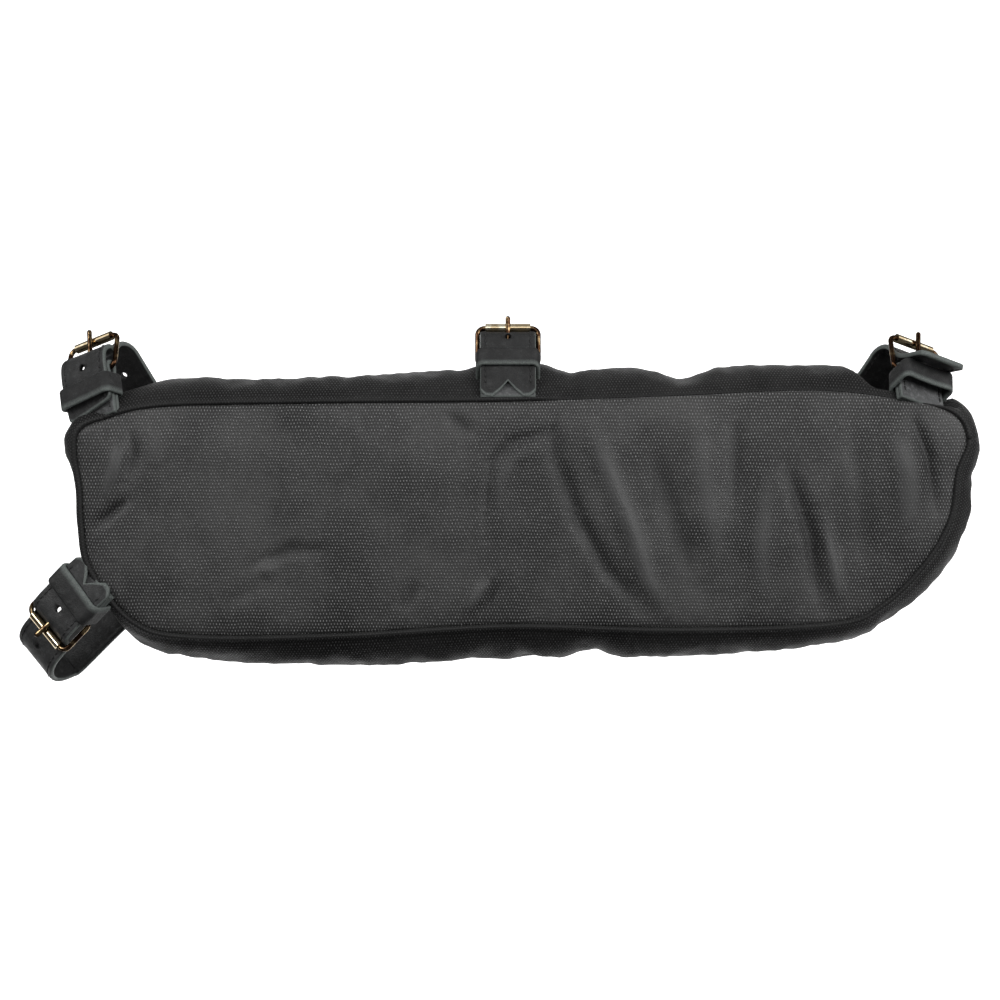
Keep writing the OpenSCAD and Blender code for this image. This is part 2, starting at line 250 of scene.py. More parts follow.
def canvas_material(name, tone, bead, waxed, shine):
    """Waxed canvas: thick threads in a brick pattern, rubbed pale on fold crests and waxed smooth in
    patches, painted darker in the bottoms of folds as painted shade and paler along the band's ridge
    as a painted highlight.
    bead is how strongly the threads show, waxed how much of it is smooth, shine how much light its
    surface throws back."""
    n = Nodes(name)
    u, v, uv = n.uv()
    where = n.place()
    drift = n.math("MULTIPLY", n.math("SUBTRACT", n.noise(uv, 90.0, 3.0), 0.5), 3.2)
    along = n.math("COSINE", n.math("ADD", n.math("MULTIPLY", u, 2 * math.pi / THREAD_ALONG),
                                    drift))
    across = n.math("COSINE", n.math("ADD", n.math("MULTIPLY", v, math.pi / THREAD_ACROSS),
                                     drift))
    rows = n.math("MULTIPLY", across, n.math("ABSOLUTE", across))
    weave = n.math("MULTIPLY", along, rows)
    beads = n.between(weave, 0.02, 0.8)
    uneven = n.between(n.noise(uv, 420.0, 3.0), 0.34, 0.66, 0.3, 1.0)
    beads = n.math("MULTIPLY", beads, uneven)
    smooth_patch = n.between(n.noise(where, 14.0, 4.0, 0.62), 0.5 - waxed * 0.4, 0.78, 1.0, 0.35)
    beads = n.math("MULTIPLY", beads, smooth_patch)
    # the point value runs from -1 in the bottom of a fold to 1 on a rubbed crest; the band's ridge
    # rows carry 0.75, a painted highlight
    crest = n.between(n.wear(), 0.25, 1.0)
    painted_fold_shade = n.between(n.wear(), -0.15, -1.0)
    # crests are rubbed pale and smooth from use; on the band's ridge rows the same lightening is a
    # painted highlight
    beads = n.math("MULTIPLY", beads, n.math("SUBTRACT", 1.0, n.math("MULTIPLY", crest, 0.7)))
    cloud = n.between(n.noise(where, 13.0, 6.0, 0.65), 0.34, 0.66)
    base = n.mix(cloud, grey(tone * 0.4), grey(tone * 1.7, 0.01))
    base = n.mix(n.math("MULTIPLY", crest, 0.6), base, grey(tone * 2.6))
    # painted shade: the bottoms of folds are painted darker, with fainter threads
    base = n.mix(n.math("MULTIPLY", painted_fold_shade, 0.6), base, grey(tone * 0.25))
    beads = n.math("MULTIPLY", beads, n.math("SUBTRACT", 1.0, n.math("MULTIPLY", painted_fold_shade, 0.5)))
    thread = n.mix(n.math("MULTIPLY", beads, bead), base, grey(tone * 10.5, 0.0))
    n.colour(thread)
    rough = n.between(n.noise(where, 30.0, 4.0), 0.3, 0.7, 0.5, 0.68)
    n.roughness(rough)
    fine = n.noise(uv, 2500.0, 2.0)
    height = n.math("ADD", n.math("MULTIPLY", beads, 1.0), n.math("MULTIPLY", fine, 0.12))
    n.normal(n.bump(height, 0.8 * MM, 1.0))
    n.set(Specular_IOR_Level=shine, Sheen_Weight=shine * 0.28, Sheen_Roughness=0.45)
    return n.material


def leather_material(name, tone, gloss):
    """Oiled black leather with a fine grain, scuffs and pale fibrous cut edges."""
    n = Nodes(name)
    where = n.place()
    _u, _v, uv = n.uv()
    cloud = n.between(n.noise(where, 55.0, 5.0, 0.62), 0.3, 0.72)
    base = n.mix(cloud, grey(tone * 0.55, -0.02), grey(tone * 1.4, -0.015))
    scuff = n.between(n.noise(uv, 220.0, 8.0, 0.8), 0.48, 0.7)
    base = n.mix(n.math("MULTIPLY", scuff, 0.7), base, grey(tone * 3.4, -0.02))
    fibres = n.between(n.noise(where, 1400.0, 3.0), 0.25, 0.75, 0.55, 1.15)
    edge = n.math("MULTIPLY", n.wear(), fibres, clamp=True)
    n.colour(n.mix(edge, base, (0.13, 0.147, 0.139, 1.0)))
    n.roughness(n.between(n.noise(where, 120.0, 4.0), 0.3, 0.7, gloss, gloss + 0.18))
    cells = n.add("TexVoronoi", feature="DISTANCE_TO_EDGE")
    n.join(uv, cells.inputs["Vector"])
    cells.inputs["Scale"].default_value = 900.0
    grain = n.between(cells.outputs["Distance"], 0.0, 0.25)
    height = n.math("ADD", n.math("MULTIPLY", grain, 0.35), n.noise(uv, 500.0, 4.0))
    n.normal(n.bump(height, 0.3 * MM, 0.85))
    n.set(Specular_IOR_Level=0.5)
    return n.material


def metal_material(name, colour, tarnish, rough):
    """Old polished brass: brown in patches, with fine scratches from use."""
    n = Nodes(name)
    where = n.place()
    patch = n.between(n.noise(where, 160.0, 4.0, 0.6), 0.34, 0.52)
    n.colour(n.mix(patch, colour, tarnish))
    n.roughness(n.between(n.noise(where, 420.0, 3.0), 0.3, 0.75, rough, rough + 0.14))
    n.normal(n.bump(n.noise(where, 1500.0, 3.0), 0.03 * MM, 0.4))
    n.set(Metallic=1.0)
    return n.material


def thread_material():
    n = Nodes("waxed_thread")
    twist = n.noise(n.place(), 2600.0, 2.0)
    n.colour(n.mix(twist, grey(0.006), grey(0.02)))
    n.normal(n.bump(twist, 0.1 * MM))
    n.set(Roughness=0.62)
    return n.material


def tape_material():
    """Zip tape: a fine herringbone of black yarn."""
    n = Nodes("zip_tape_weave")
    u, v, uv = n.uv()
    stripe = n.math("SINE", n.math("MULTIPLY", n.math("ADD", u, v), 2 * math.pi / (0.9 * MM)))
    ribs = n.math("SINE", n.math("MULTIPLY", v, 2 * math.pi / (1.1 * MM)))
    height = n.math("MULTIPLY", n.math("ADD", stripe, ribs), 0.5)
    n.colour(n.mix(n.between(height, -1.0, 1.0), grey(0.012), grey(0.045)))
    n.roughness(n.between(n.noise(uv, 300.0), 0.3, 0.7, 0.7, 0.85))
    n.normal(n.bump(height, 0.15 * MM, 0.8))
    return n.material


def coil_material():
    n = Nodes("nylon_coil")
    speck = n.noise(n.place(), 600.0, 3.0)
    n.colour(n.mix(speck, grey(0.009), grey(0.022)))
    n.roughness(n.between(speck, 0.3, 0.7, 0.34, 0.5))
    return n.material


def make_materials():
    brass = (0.42, 0.3, 0.16, 1.0)
    brown = (0.06, 0.03, 0.016, 1.0)
    return {
        "canvas": canvas_material("waxed_canvas", 0.03, 1.0, 0.3, 0.42),
        # The band is the same canvas painted darker: painted shade on the band's up- and down-facing
        # faces
        "canvas_band": canvas_material("waxed_canvas_band", 0.0105, 0.9, 0.6, 0.2),
        "leather": leather_material("oiled_leather", 0.02, 0.5),
        # A darker copy of the same oiled leather: painted shade on the middle long strap and the
        # keepers
        "leather_painted_shade": leather_material("oiled_leather_dark", 0.012, 0.56),
        "leather_back": leather_material("leather_flesh_side", 0.07, 0.72),
        "brass": metal_material("antique_brass", brass, brown, 0.14),
        "roller": metal_material("antique_brass_roller", (0.95, 0.86, 0.66, 1.0),
                                 (0.6, 0.48, 0.3, 1.0), 0.06),
        "thread": thread_material(),
        "tape": tape_material(),
        "coil": coil_material(),
    }


MATERIALS = make_materials()


def finish_piece(obj, material, slot, *nodes):
    """Gives a piece its material and hides the CAD nodes it stands for; slot is not used. The soft
    pieces all ride on the bag."""
    obj.data.materials.clear()
    obj.data.materials.append(MATERIALS[material])
    if nodes:
        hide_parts(*nodes)
    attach(obj, "root")


# ---------------------------------------------------------------------------------------------
# Canvas body
# ---------------------------------------------------------------------------------------------

# The front panel's sewn edge, clockwise from the upper rear corner: x, z and how far the band
# swells out beyond the edge there
EDGE = np.array([
    [-222, -38, 12], [-190, -31, 17], [-100, -29, 16], [0, -28, 20], [90, -25, 17], [165, -22, 16],
    [210, -26, 16], [243, -34, 11], [252, -49, 11], [246, -67, 14], [242, -92, 15],
    [229, -115, 15], [206, -138, 12], [178, -149, 14], [90, -152, 18], [0, -150, 20],
    [-90, -155, 20], [-172, -156, 14], [-205, -148, 11], [-228, -120, 3], [-233, -96, 1],
    [-234, -76, 1], [-237, -56, 9], [-235, -44, 12],
])
# The top piece of the band ends at this point of the edge, the front corner
TOP_LAST = 8
# Where the band is drawn in: x and z on the sewn edge, half width and depth of the tuck
TUCKS = [
    (36, -26, 11, 3), (97, -24, 14, 6), (-145, -30, 25, 1.5), (48, -151, 13, 5), (-238, -42, 5, 3),
    (216, -27, 15, 6),
    (20, -27, 8, -2.5), (-16, -28, 7, -1.8),
]
COLS = 600


def closed_curve(points, steps):
    """Catmull-Rom curve through the points and back to the first."""
    before, after = np.roll(points, 1, axis=0), np.roll(points, -1, axis=0)
    beyond = np.roll(points, -2, axis=0)
    rows = []
    for t in np.arange(steps) / steps:
        rows.append(0.5 * (2 * points + (after - before) * t
                           + (2 * before - 5 * points + 4 * after - beyond) * t ** 2
                           + (3 * points - before - 3 * after + beyond) * t ** 3))
    return np.stack(rows, axis=1).reshape(-1, points.shape[1])


def evenly(curve, count):
    """Points at equal steps along a closed curve, measured on its first two columns."""
    closed = np.concatenate([curve, curve[:1]])
    run = np.concatenate([[0.0], np.cumsum(np.linalg.norm(np.diff(closed[:, :2], axis=0), axis=1))])
    wanted = run[-1] * np.arange(count) / count
    return np.stack([np.interp(wanted, run, column) for column in closed.T], axis=1)


RIM = evenly(closed_curve(EDGE, 40), COLS)
RIM_EDGE = RIM[:, :2]
RIM_STEP = np.linalg.norm(np.roll(RIM_EDGE, -1, axis=0) - RIM_EDGE, axis=1)
RIM_RUN = np.concatenate([[0.0], np.cumsum(RIM_STEP)])


def outward_of(edge):
    """Unit vectors pointing out of the bag along its sewn edge."""
    heading = np.roll(edge, -3, axis=0) - np.roll(edge, 3, axis=0)
    heading /= np.linalg.norm(heading, axis=1)[:, None]
    return np.stack([-heading[:, 1], heading[:, 0]], axis=1)


def swell_of(rim):
    """How far the band's crest stands out, less the tucks."""
    swell = rim[:, 2].copy()
    for x, z, width, depth in TUCKS:
        swell -= depth * bell(np.hypot(rim[:, 0] - x, rim[:, 1] - z), width)
    return swell


OUT = outward_of(RIM_EDGE)
RIM_SWELL = swell_of(RIM)

# Folds of the front panel: points [x, z], half width and height, all in millimetres
FOLDS = [
    ([(-226, -97), (-217, -88), (-209, -82)], 3.0, -1.6),
    ([(-222, -84), (-216, -66), (-212, -48)], 4.5, 1.5),
    ([(-206, -42), (-205, -58), (-209, -72)], 3.5, -1.2),
    ([(-192, -38), (-194, -66)], 6.0, 0.8),
    ([(-143, -120), (-119, -109), (-97, -110)], 4.0, -0.9),
    ([(-136, -122), (-128, -117)], 4.0, 1.0),
    ([(-160, -140), (-136, -128)], 6.0, -0.7),
    ([(-81, -32), (-76, -50)], 4.0, -0.8),
    ([(-36, -33), (-18, -46)], 4.0, -1.1),
    ([(-48, -126), (-60, -144)], 5.0, -1.0),
    ([(-24, -146), (-10, -125)], 3.5, 1.3),
    ([(-16, -146), (-4, -126)], 3.5, -1.0),
    ([(-12, -104), (-11, -80), (-9, -62), (2, -50), (24, -44)], 2.8, -1.0),
    ([(-6, -98), (-5, -74), (2, -60), (20, -52)], 4.5, 0.8),
    ([(24, -34), (27, -60), (39, -93), (54, -120), (76, -143)], 5.0, -1.5),
    ([(44, -40), (56, -70), (68, -100), (76, -126), (88, -146)], 5.5, 1.6),
    ([(78, -50), (92, -92), (104, -128)], 7.0, -1.2),
    ([(100, -32), (108, -80), (116, -128)], 8.0, 0.9),
    ([(126, -36), (124, -88)], 5.0, -1.1),
    ([(142, -60), (138, -106), (138, -144)], 6.5, 1.0),
    ([(153, -62), (166, -102), (172, -142)], 4.5, -1.7),
    ([(172, -92), (182, -140)], 4.0, 1.3),
    ([(190, -40), (196, -90), (196, -128)], 7.0, -0.8),
    ([(210, -40), (219, -70), (219, -102)], 7.5, 1.3),
    ([(221, -34), (230, -58), (235, -88)], 3.2, -1.5),
]


def distance_to_line(x, z, line):
    """Distance from each point to a line of points, and how near each is to the line's ends."""
    best = np.full(x.shape, 1e9)
    share = np.zeros(x.shape)
    lengths = [math.dist(a, b) for a, b in zip(line, line[1:])]
    total, gone = sum(lengths), 0.0
    for a, b, length in zip(line, line[1:], lengths):
        ux, uz = (b[0] - a[0]) / length, (b[1] - a[1]) / length
        t = np.clip((x - a[0]) * ux + (z - a[1]) * uz, 0, length)
        d = np.hypot(x - a[0] - t * ux, z - a[1] - t * uz)
        nearer = d < best
        best = np.where(nearer, d, best)
        share = np.where(nearer, (gone + t) / total, share)
        gone += length
    return best, np.sin(np.pi * np.clip(share, 0.04, 0.96)) ** 0.6


def panel_folds(x, z):
    total = np.zeros(x.shape)
    for line, width, height in FOLDS:
        distance, fade = distance_to_line(x, z, line)
        total += height * bell(distance, width) * fade
    return total


FOLD_STRENGTH = 2.6
SPINE_END = 180.0
SPINE_Z = -88.0
SPINE_PITCH = 5.0
PANEL_K = np.concatenate([[1.0, 0.994, 0.986, 0.975, 0.96], np.linspace(0.94, 0.0, 46)])


def panel_surface(puff, folds, seed):
    """Points of a panel as rows from the sewn edge in to the spine: x, z and how far it stands
    out from the sewn edge."""
    centre = np.stack([np.clip(RIM_EDGE[:, 0], -SPINE_END, SPINE_END),
                       np.full(COLS, SPINE_Z)], axis=1)
    flat = centre[None] + PANEL_K[:, None, None] * (RIM_EDGE - centre)[None]
    # Both sides of the panel meet at the same points of the spine
    flat[-1, :, 0] = np.round(centre[:, 0] / SPINE_PITCH) * SPINE_PITCH
    inward = (1 - PANEL_K)[:, None] * np.linalg.norm(RIM_EDGE - centre, axis=1)[None]
    x, z = flat[..., 0], flat[..., 1]
    lift = -0.6 * np.exp(-inward / 0.8) + 0.9 * (1 - np.exp(-inward / 2.2))
    lift += puff * (1 - PANEL_K[:, None] ** 3)
    calm = 1 - np.exp(-inward / 7.0)
    ground = np.stack([x.ravel(), np.zeros(x.size), z.ravel()], axis=1)
    waves = 1.5 * noise_at(ground, 46.0, seed) + 0.5 * noise_at(ground, 17.0, seed + 1)
    lift += calm * waves.reshape(x.shape)
    creases = calm * panel_folds(x, z) if folds else np.zeros(x.shape)
    return x, z, lift + FOLD_STRENGTH * creases, creases


def make_front_panel():
    x, z, lift, creases = panel_surface(4.2, True, 3)
    points = np.stack([x, -SEAM_Y - lift, z], axis=-1).reshape(-1, 3)
    uvs = np.stack([x, z], axis=-1).reshape(-1, 2)
    quads = grid_quads(len(PANEL_K), COLS, close_cols=True)
    # fold heights become the point values: paler on rubbed crests, and painted shade darkening the
    # bottoms of folds
    wear = np.clip(creases / 1.15, -1, 1).ravel()
    panel = mesh_object("front_canvas", points, quads, uvs, wear)
    thicken(panel)
    finish_piece(panel, "canvas", "canvas", "front_panel")


CANVAS_T = 1.2


def thicken(obj):
    """Joins points that meet, turns the faces outward and gives the cloth its thickness."""
    bm = bmesh.new()
    bm.from_mesh(obj.data)
    bmesh.ops.remove_doubles(bm, verts=bm.verts, dist=0.02 * MM)
    bmesh.ops.recalc_face_normals(bm, faces=bm.faces)
    centre = Vector((0, 0, -0.09))
    face = max(bm.faces, key=lambda f: f.calc_area())
    if face.normal.dot(face.calc_center_median() - centre) < 0:
        bmesh.ops.reverse_faces(bm, faces=bm.faces)
    bm.to_mesh(obj.data)
    bm.free()
    solid = obj.modifiers.new("thickness", "SOLIDIFY")
    solid.thickness = CANVAS_T * MM
    solid.offset = -1
    apply_modifiers(obj)
    obj.data.polygons.foreach_set("use_smooth", [True] * len(obj.data.polygons))


# The band's section: a turned ridge along each sewn edge, then the swell between them
RIDGE = [(0.1, 2.0), (0.0, 0.6), (0.3, -0.4), (1.0, -1.1), (2.1, -1.2), (3.1, -0.2), (3.8, 1.2)]
# Rows of the band's section that are painted paler: a painted highlight on the turned ridge
RIDGE_PAINTED_HIGHLIGHT_ROWS = (2, 3, 4)
SWELL_STEPS = 30


def ridge_strength():
    """The ridge is crisp except along the top, right of the middle strap, where it lies soft."""
    x, z = RIM_EDGE[:, 0], RIM_EDGE[:, 1]
    soft = (z > -36) & (x > 22) & (x < 236)
    strength = np.where(soft, 0.15, 1.0)
    kernel = np.ones(9) / 9
    padded = np.concatenate([strength[-4:], strength, strength[:4]])
    return np.convolve(padded, kernel, mode="valid")


def band_rows():
    """Rows of band points from the front sewn edge to the back one."""
    strength = ridge_strength()
    edge = []
    for out, y in RIDGE:
        offset = out * (0.5 + 0.5 * strength)
        depth = -SEAM_Y + np.where(y < 1.0, y * strength + (1 - strength) * 0.6, y)
        edge.append((offset, depth))
    rows = []
    first = RIDGE[-1]
    for offset, depth in edge:
        rows.append((offset, depth, np.zeros(COLS)))
    for step in range(1, SWELL_STEPS):
        s = -1 + 2 * step / SWELL_STEPS
        shape = (1 - abs(s) ** 2.3) ** 0.8
        start = first[0] * (0.5 + 0.5 * strength)
        offset = start + (RIM_SWELL - start) * shape
        depth = np.full(COLS, s * (SEAM_Y - first[1]))
        rows.append((offset, depth, np.full(COLS, 1 - abs(s) ** 3)))
    for offset, depth in reversed(edge):
        rows.append((offset, -depth, np.zeros(COLS)))
    return rows


def band_grid():
    rows = band_rows()
    points = np.zeros((len(rows), COLS, 3))
    free = np.zeros((len(rows), COLS))
    for r, (offset, depth, loose) in enumerate(rows):
        flat = RIM_EDGE + OUT * offset[:, None]
        points[r] = np.stack([flat[:, 0], depth, flat[:, 1]], axis=1)
        free[r] = loose
    flat = points.reshape(-1, 3)
    waves = 1.0 * noise_at(flat, 24.0, 7) + 0.8 * noise_at(flat, 11.0, 9)
    # Tight little gathers where the band meets the sewn edges
    gathers = 0.75 * noise_at(flat * np.array([1.0, 0.25, 1.0]), 6.5, 12)
    move = (waves + gathers).reshape(free.shape) * free
    points[..., 0] += OUT[None, :, 0] * move
    points[..., 2] += OUT[None, :, 1] * move
    pinch_bottom(points, free)
    for name in ("top_left", "top_right"):
        press_under_loop(points, Buckle(name))
    tuck_under_strap(points, np.minimum(1, 0.3 + 6 * free), Buckle("top_right", 8.5), 17.0)
    return points


TUCK_HALF = 19.0
TUCK_FADE = 3.0
TUCK_BEHIND = 3.6
TUCK_REACH = 14


def tuck_under_strap(points, free, buckle, length):
    """Pushes the band in behind the short strap that hangs from a buckle."""
    away = points - buckle.heel
    u, w, n = away @ buckle.u, away @ buckle.w, away @ buckle.n
    beside = np.clip((TUCK_HALF - np.abs(u)) / TUCK_FADE, 0, 1)
    below = np.clip((w + length + TUCK_FADE) / TUCK_FADE, 0, 1) * (w < 0)
    in_reach = (n < TUCK_REACH) * (points[..., 1] < 0)
    push = np.maximum(n + TUCK_BEHIND, 0) * in_reach * beside * below * free
    points -= push[..., None] * buckle.n


def press_under_loop(points, buckle):
    """Pushes the band down where a slack strap's loop lies on it."""
    centre = loop_centre(buckle.name)
    away = points - centre
    along = away @ buckle.u
    down = np.cross(buckle.u, np.array([0.0, -1.0, 0.0]))
    down /= -np.linalg.norm(down) * np.sign(down[2])
    side = np.cross(down, buckle.u)
    depth, across = away @ down, away @ side
    room = WRAP_R[buckle.name] + LEATHER_T + 0.6
    reach = np.clip(np.abs(across) / 26.0, 0, 1)
    floor = room * np.sqrt(1 - reach ** 4)
    near = np.clip((30.0 - np.abs(along)) / 9.0, 0, 1) * (points[..., 2] > -70)
    push = np.where(reach < 1, np.maximum(floor - depth, 0), 0) * near
    points[..., 2] -= push


def pinch_bottom(points, free):
    """The tuck under the middle of the bag, and the crease that runs on from it."""
    line = [(7, -20), (10, -6), (30, 8), (50, 22)]
    low = points[..., 2] < -148
    distance, fade = distance_to_line(points[..., 0], points[..., 1], line)
    points[..., 2] += low * free * 3.2 * bell(distance, 4.5) * fade
    points[..., 2] -= low * free * 1.2 * bell(distance - 8, 5.0) * fade


def band_piece(name, points, first, last, material, node):
    rows = points.shape[0]
    columns = np.arange(first, last + 1)
    part = points[:, columns % COLS]
    run = RIM_RUN[columns]
    steps = np.linalg.norm(np.diff(part, axis=0), axis=2)
    across = np.concatenate([np.zeros((1, len(columns))), np.cumsum(steps, axis=0)])
    uvs = np.stack([np.broadcast_to(run, across.shape), across], axis=-1).reshape(-1, 2)
    quads = grid_quads(rows, len(columns))
    wear = np.zeros(part.shape[:2])
    # the ridge rows get 0.75: a painted highlight that makes the turned ridge at each sewn edge paler
    for row in RIDGE_PAINTED_HIGHLIGHT_ROWS:
        wear[[row, rows - 1 - row]] = 0.75
    piece = mesh_object(name, part.reshape(-1, 3), quads, uvs, wear.ravel())
    thicken(piece)
    finish_piece(piece, material, "canvas", node)


def make_band():
    points = band_grid()
    to_corner = np.linalg.norm(RIM_EDGE - EDGE[TOP_LAST, :2], axis=1)
    split = int(np.argmin(to_corner))
    # Both band pieces take the darker copy of the canvas: painted shade
    band_piece("top_band_canvas", points, 0, split, "canvas_band", "gusset_top")
    band_piece("bottom_band_canvas", points, split, COLS, "canvas_band", "gusset_bottom")


# ---------------------------------------------------------------------------------------------
# Back face and its zip
# ---------------------------------------------------------------------------------------------

ZIP_BOX = [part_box("zip_coil_lower"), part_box("zip_coil_upper")]
ZIP_Z = (ZIP_BOX[0][0][2] + ZIP_BOX[1][1][2]) / 2 / MM
ZIP_ENDS = (ZIP_BOX[0][0][0] / MM, ZIP_BOX[0][1][0] / MM)
COIL_TOP = ZIP_BOX[0][1][1] / MM
ZIP_SLOT = 6.0


def back_outline_z(x):
    """Lowest and highest z of the sewn edge at x."""
    xs, zs = RIM_EDGE[:, 0], RIM_EDGE[:, 1]
    following = np.roll(np.arange(COLS), -1)
    hits = []
    for i, j in zip(range(COLS), following):
        if (xs[i] - x) * (xs[j] - x) <= 0 and xs[i] != xs[j]:
            t = (x - xs[i]) / (xs[j] - xs[i])
            hits.append(zs[i] + t * (zs[j] - zs[i]))
    return min(hits), max(hits)


def make_back_half(name, node, upper):
    """One part of the back face as columns from the zip's folded edge to the sewn edge."""
    low_x, high_x = RIM_EDGE[:, 0].min() + 0.6, RIM_EDGE[:, 0].max() - 0.6
    columns = np.concatenate([
        low_x + (1 - np.cos(np.linspace(0, math.pi / 2, 24))) * 30,
        np.linspace(low_x + 33, high_x - 33, 150),
        high_x - (1 - np.cos(np.linspace(math.pi / 2, 0, 24))) * 30,
    ])
    side = 1 if upper else -1
    steps = 14 if upper else 46
    points, uvs = [], []
    for x in columns:
        low, high = back_outline_z(x)
        far = high if upper else low
        inside = ZIP_ENDS[0] - 6 < x < ZIP_ENDS[1] + 6
        near = ZIP_Z + side * (ZIP_SLOT if inside else 0.0)
        if side * (far - near) < 0.5:
            near = far - side * 0.5
        for step in range(steps + 1):
            t = step / steps
            z = near + (far - near) * t
            points.append((x, z, abs(z - near), abs(far - z), min(x - low_x, high_x - x)))
    data = np.array(points)
    x, z, from_zip, from_edge, from_end = data.T
    inward = np.minimum(from_edge, from_end * 0.9)
    lift = -2.2 * np.exp(-inward / 0.7) + 1.4 * (1 - np.exp(-inward / 1.6))
    slack = (1 - np.exp(-inward / 12.0)) * (1 - np.exp(-from_zip / 14.0))
    ground = np.stack([x, np.zeros(len(x)), z], axis=1)
    lift += slack * (4.0 + 2.2 * noise_at(ground, 52.0, 21) + 0.8 * noise_at(ground, 19.0, 22))
    # The folded edge beside the zip is a doubled, stitched strip
    lift += 0.5 * bell(from_zip - 3.0, 3.5) - 0.5 * bell(from_zip - 7.0, 1.0)
    spots = np.stack([x, SEAM_Y + lift, z], axis=1)
    uvs = np.stack([x, z], axis=1)
    quads = grid_quads(len(columns), steps + 1)
    panel = mesh_object(name, spots, quads, uvs)
    thicken(panel)
    finish_piece(panel, "canvas", "canvas", node)


def make_zip_tape(side, node):
    low, high = [[c / MM for c in corner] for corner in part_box(node)]
    cols = np.linspace(low[0], high[0], 160)
    rows = np.linspace(low[2], high[2], 9)
    points, uvs = [], []
    for z in rows:
        for x in cols:
            ripple = 0.12 * math.sin(x / 11.0 + side)
            points.append((x, high[1] + ripple - 0.15, z))
            uvs.append((x, z))
    tape = mesh_object(node + "_woven", points, grid_quads(len(rows), len(cols)), uvs)
    solid = tape.modifiers.new("thickness", "SOLIDIFY")
    solid.thickness = (high[1] - low[1]) * MM
    solid.offset = 0
    apply_modifiers(tape)
    finish_piece(tape, "tape", "zip_tape", node)


def tube_along(path, radius, sides):
    """Points and quads of a closed-ended tube along a path of points."""
    path = np.asarray(path, dtype=float)
    heading = np.gradient(path, axis=0)
    heading /= np.linalg.norm(heading, axis=1)[:, None]
    up = np.array([0.0, 1.0, 0.0])
    points = []
    for p, t in zip(path, heading):
        a = np.cross(t, up)
        a = a / max(np.linalg.norm(a), 1e-9) if np.linalg.norm(a) > 1e-6 else np.array([1.0, 0, 0])
        b = np.cross(t, a)
        for k in range(sides):
            angle = 2 * math.pi * k / sides
            points.append(p + radius * (math.cos(angle) * a + math.sin(angle) * b))
    rings = len(path)
    quads = grid_quads(rings, sides, close_cols=True)
    caps = [tuple(range(sides))[::-1], tuple((rings - 1) * sides + k for k in range(sides))]
    return points, quads + caps


def repeated(name, points, faces, shifts, mirror_z=False):
    """One mesh of many copies of a small shape."""
    points = np.asarray(points, dtype=float)
    everything, all_faces = [], []
    for shift in shifts:
        base = len(everything)
        moved = points * (np.array([1, 1, -1]) if mirror_z else 1) + np.asarray(shift)
        everything.extend(moved.tolist())
        all_faces.extend(tuple(base + i for i in f) for f in faces)
    obj = mesh_object(name, everything, all_faces)
    outward_faces(obj)
    return obj


COIL_PITCH = 1.75


def make_zip_coil(side, node):
    """A row of coil loops: each goes from the tape over to the middle of the zip and back."""
    inner, outer = 0.75, 2.6
    middle_y = (SEAM_Y + COIL_TOP) / 2
    loop = [(-0.25, -0.7, outer), (-0.25, -0.75, outer - 0.6), (-0.22, -0.6, inner + 0.5),
            (0.0, 0.0, inner + 0.28), (0.22, 0.6, inner + 0.5), (0.25, 0.72, outer - 0.6),
            (0.25, 0.7, outer)]
    points, faces = tube_along(loop, 0.36, 7)
    first = ZIP_ENDS[0] + 1.0 + (0.5 if side < 0 else 0.0) * COIL_PITCH
    count = int((ZIP_ENDS[1] - 1.5 - first) / COIL_PITCH)
    shifts = [(first + i * COIL_PITCH, middle_y, ZIP_Z) for i in range(count)]
    coil = repeated(node + "_loops", points, faces, shifts, mirror_z=side < 0)
    finish_piece(coil, "coil", "zip_coil", node)


def make_back():
    make_back_half("back_canvas_upper", "back_panel_upper", True)
    make_back_half("back_canvas_lower", "back_panel_lower", False)
    for side, word in ((1, "upper"), (-1, "lower")):
        make_zip_tape(side, "zip_tape_" + word)
        make_zip_coil(side, "zip_coil_" + word)


# ---------------------------------------------------------------------------------------------
# Leather straps
# ---------------------------------------------------------------------------------------------

STRAP_W = 30.8
LEATHER_T = 2.8
STITCH_INSET = 3.0
STITCH_PITCH = 3.3


class Buckle:
    """A buckle's own frame, from the CAD joints: the heel bar is the origin, w runs to the
    roller, n outward from the tube and u along both bars. turn swings w and n, in degrees, for
    leather that doesn't lie in the buckle's own plane."""

    def __init__(self, name, turn=0.0):
        hinge, spin = JOINTS[name + "_prong_hinge"], JOINTS[name + "_roller_spin"]
        self.name = name
        self.heel = np.array(hinge["pos_m"]) / MM
        self.u = np.array(hinge["axis"])
        along = np.array(spin["pos_m"]) / MM - self.heel
        self.length = np.linalg.norm(along)
        self.w = along / self.length
        self.n = np.cross(self.u, self.w)
        swing = math.radians(turn)
        self.w, self.n = (math.cos(swing) * self.w + math.sin(swing) * self.n,
                          math.cos(swing) * self.n - math.sin(swing) * self.w)
        self.loop = self.flat(loop_centre(name))

    def flat(self, point):
        """(w, n) of a point in the object's frame."""
        away = np.asarray(point) - self.heel
        return np.array([away @ self.w, away @ self.n])

    def space(self, u, w, n):
        return self.heel + u * self.u + w * self.w + n * self.n


def loop_centre(name):
    mount = {"top_middle": "top_tube", "lower_left": "seat_tube"}.get(name)
    if mount:
        return np.array(MOUNTS[mount]["pos_m"]) / MM
    low, high = OPENINGS[name + "_loop_2"]["box_m"]
    return (np.array(low) + np.array(high)) / 2 / MM


